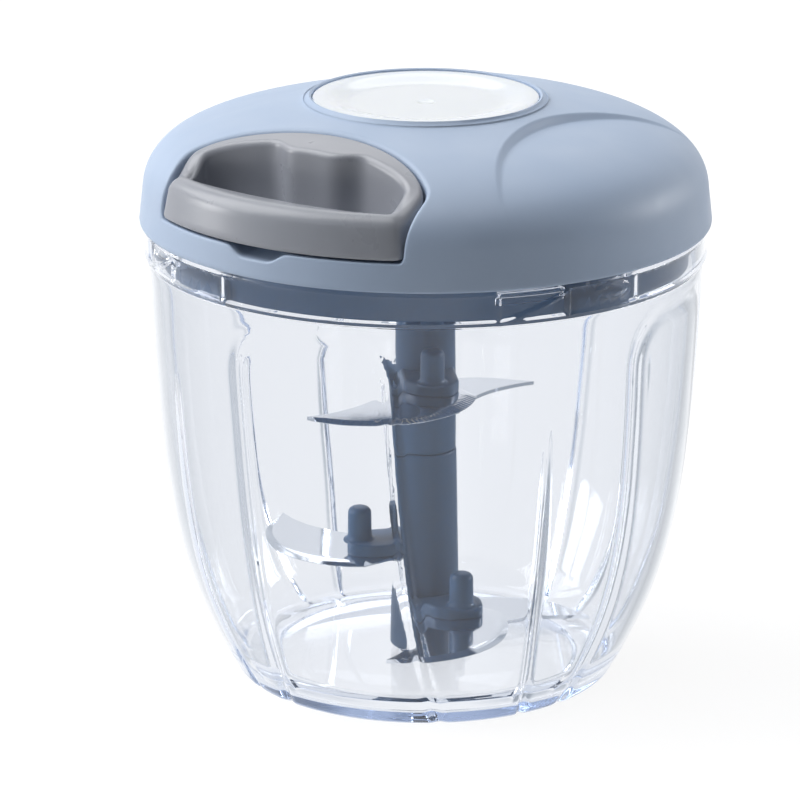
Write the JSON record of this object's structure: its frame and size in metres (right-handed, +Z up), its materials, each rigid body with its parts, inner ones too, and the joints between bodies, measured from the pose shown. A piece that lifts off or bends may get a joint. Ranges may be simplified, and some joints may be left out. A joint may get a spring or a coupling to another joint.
{
  "type": "pull-cord food chopper",
  "caption": "Hand pull-cord food chopper: clear fluted bowl, domed bayonet lid with a docked pull handle, and a column of curved steel blades turned by a cord spool.",
  "frame": {"origin": "centre of the bowl's foot, on the table", "axes": "+Z up along the blade column's axis; the handle pulls towards -Y"},
  "size_m": [0.125, 0.125, 0.13],
  "materials": {
    "clear_plastic": "clear moulded plastic, glossy",
    "lid_blue": "powder blue, fine satin texture",
    "skirt_blue": "powder blue, satin",
    "disc_white": "near-white translucent, glossy",
    "handle_grey": "light grey, satin",
    "column_blue": "slate blue, satin",
    "seal_rubber": "pale silicone, matt",
    "blade_steel": "mirror-polished stainless steel",
    "plain_steel": "plain steel",
    "gear_white": "natural acetal, satin",
    "cord_white": "braided cord"
  },
  "bodies": {
    "bowl": {"bowl": "clear_plastic", "floor_pin": "plain_steel"},
    "seal": {"lid_seal": "seal_rubber"},
    "lid": {"top_cover": "lid_blue", "bottom_cover": "skirt_blue", "cover_disc": "disc_white", "lid_screws": "plain_steel", "cord_guide": "gear_white", "drive_bushing": "gear_white", "main_axle": "plain_steel", "spring_arbor": "gear_white", "power_spring": "plain_steel", "cord_run": "cord_white"},
    "handle": {"pull_handle": "handle_grey", "cord_knot": "cord_white", "cord_lead": "cord_white"},
    "spool": {"cord_spool": "gear_white", "wound_cord": "cord_white", "clutch_pawls": "gear_white", "pawl_pins": "plain_steel"},
    "drive": {"drive_hub": "gear_white", "retaining_ring": "plain_steel", "thrust_washer": "plain_steel"},
    "rotor": {"upper_column": "column_blue", "lower_column": "column_blue", "foot_bush": "gear_white", "top_front_blade": "blade_steel", "top_rear_blade": "blade_steel", "middle_blade": "blade_steel", "lower_blade": "blade_steel", "bottom_blade": "blade_steel"}
  },
  "joints": [
    {"name": "lid_lift", "type": "slide", "parent": "bowl", "child": "seal", "axis": [0, 0, 1], "range_m": [0, 0.12]},
    {"name": "lid_twist", "type": "hinge", "parent": "seal", "child": "lid", "pos_m": [0, 0, 0.1035], "axis": [0, 0, 1], "range_deg": [-15, 0]},
    {"name": "handle_pull", "type": "slide", "parent": "lid", "child": "handle", "axis": [0, -1, 0], "range_m": [0, 0.3], "stiffness_N_per_m": 15, "springref_m": -0.2, "deforming": ["cord_lead"]},
    {"name": "spool_spin", "type": "hinge", "parent": "lid", "child": "spool", "pos_m": [0, 0, 0.113], "axis": [0, 0, 1], "range_deg": [0, 1100]},
    {"name": "drive_spin", "type": "hinge", "parent": "lid", "child": "drive", "pos_m": [0, 0, 0.1], "axis": [0, 0, 1], "range_deg": [0, 1100]},
    {"name": "blade_spin", "type": "hinge", "parent": "bowl", "child": "rotor", "pos_m": [0, 0, 0.012], "axis": [0, 0, 1], "range_deg": [0, 1100]}
  ],
  "couplings": [
    {"joint": "spool_spin", "follows": "handle_pull", "rad_per_m": 63.694},
    {"joint": "drive_spin", "follows": "handle_pull", "rad_per_m": 63.694},
    {"joint": "blade_spin", "follows": "handle_pull", "rad_per_m": 63.694}
  ]
}
